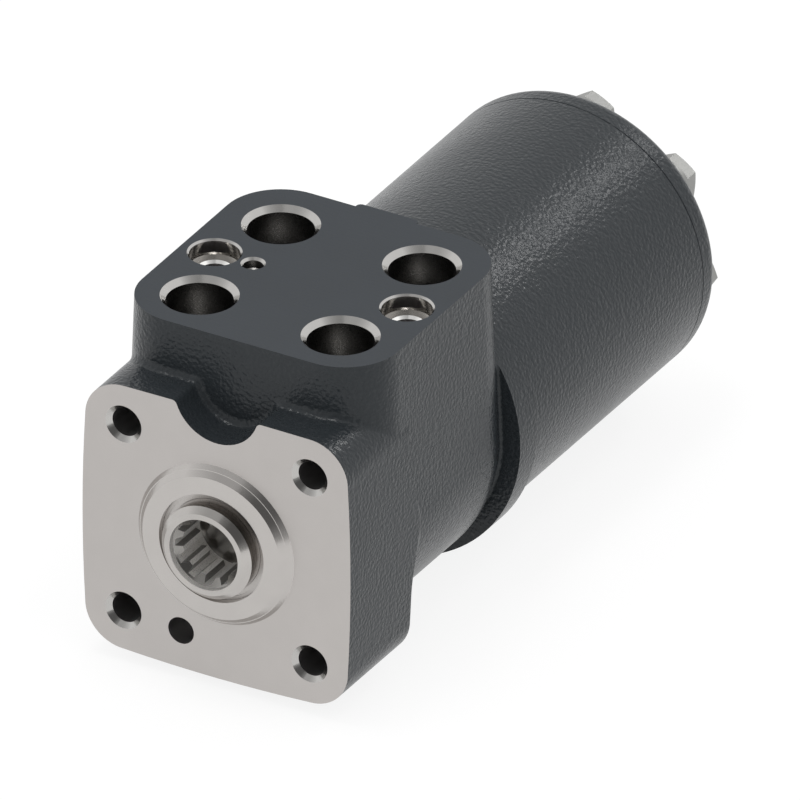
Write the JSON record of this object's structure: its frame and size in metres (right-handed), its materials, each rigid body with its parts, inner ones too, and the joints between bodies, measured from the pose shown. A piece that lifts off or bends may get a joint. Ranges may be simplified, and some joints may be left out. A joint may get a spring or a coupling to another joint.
{
  "type": "orbital steering unit",
  "caption": "Hydrostatic steering valve: square column flange, splined rotary spool, ported valve housing and a bolted gerotor metering section behind it.",
  "frame": {"origin": "on the shaft axis, in the plane of the column flange's machined face", "axes": "+X right seen from the column, +Y back along the shaft, +Z out of the port face"},
  "size_m": [0.0904, 0.2124, 0.1024],
  "materials": {
    "cast_paint": "dark grey satin paint over cast iron",
    "zinc_steel": "bright zinc plate",
    "washer_metal": "bright plain washer",
    "seal_rubber": "matt black nitrile",
    "seal_case": "pressed steel case",
    "glide_plastic": "bronze-filled sliding plastic",
    "bearing_steel": "ground and hardened",
    "cage_brass": "pressed cage",
    "ground_steel": "ground steel",
    "spool_steel": "bright turned steel",
    "spring_steel": "tempered spring steel"
  },
  "bodies": {
    "housing": {"housing": "cast_paint", "distributor_plate": "cast_paint", "gear_rim": "cast_paint", "end_cover": "cast_paint", "cover_screws": "zinc_steel", "pin_screw": "zinc_steel", "screw_washers": "washer_metal", "housing_o_ring": "seal_rubber", "plate_o_ring": "seal_rubber", "cover_o_ring": "seal_rubber", "dust_seal": "seal_case", "shaft_glide_ring": "glide_plastic", "shaft_seal_o_ring": "seal_rubber", "bearing_outer_race": "bearing_steel", "check_ball_stop": "ground_steel"},
    "sleeve": {"control_sleeve": "ground_steel", "cross_pin": "bearing_steel", "retaining_ring": "spring_steel", "bearing_inner_race": "bearing_steel", "centring_springs": "spring_steel"},
    "spool": {"control_spool": "spool_steel"},
    "needle_set": {"bearing_cage": "cage_brass", "bearing_needles": "bearing_steel"},
    "carrier": {"spacer": "ground_steel"},
    "rotor": {"rotor": "ground_steel"},
    "cardan": {"cardan_shaft": "ground_steel"},
    "check_ball": {"check_ball": "bearing_steel"}
  },
  "joints": [
    {"name": "sleeve_turn", "type": "hinge", "parent": "housing", "child": "sleeve", "pos_m": [0, 0.04, 0], "axis": [0, 1, 0], "continuous": true},
    {"name": "spool_deflection", "type": "hinge", "parent": "sleeve", "child": "spool", "pos_m": [0, 0.0265, 0], "axis": [0, 1, 0], "range_deg": [-10, 10], "stiffness_Nm_per_rad": 8, "deforming": ["centring_springs"]},
    {"name": "bearing_cage_turn", "type": "hinge", "parent": "housing", "child": "needle_set", "pos_m": [0, 0.016, 0], "axis": [0, 1, 0], "continuous": true},
    {"name": "orbit_turn", "type": "hinge", "parent": "housing", "child": "carrier", "pos_m": [0, 0.15, 0], "axis": [0, 1, 0], "continuous": true},
    {"name": "rotor_spin", "type": "hinge", "parent": "carrier", "child": "rotor", "pos_m": [0, 0.15, 0.003], "axis": [0, 1, 0], "continuous": true},
    {"name": "cardan_spin", "type": "hinge", "parent": "carrier", "child": "cardan", "pos_m": [0, 0.04, 0], "axis": [0, 0.9996, 0.0273], "continuous": true},
    {"name": "check_ball_lift", "type": "slide", "parent": "housing", "child": "check_ball", "axis": [0, 0, 1], "range_m": [0, 0.0025]}
  ],
  "couplings": [
    {"joint": "bearing_cage_turn", "follows": "sleeve_turn", "ratio": 0.5},
    {"joint": "orbit_turn", "follows": "sleeve_turn", "ratio": -6},
    {"joint": "rotor_spin", "follows": "sleeve_turn", "ratio": 7},
    {"joint": "cardan_spin", "follows": "sleeve_turn", "ratio": 7}
  ]
}
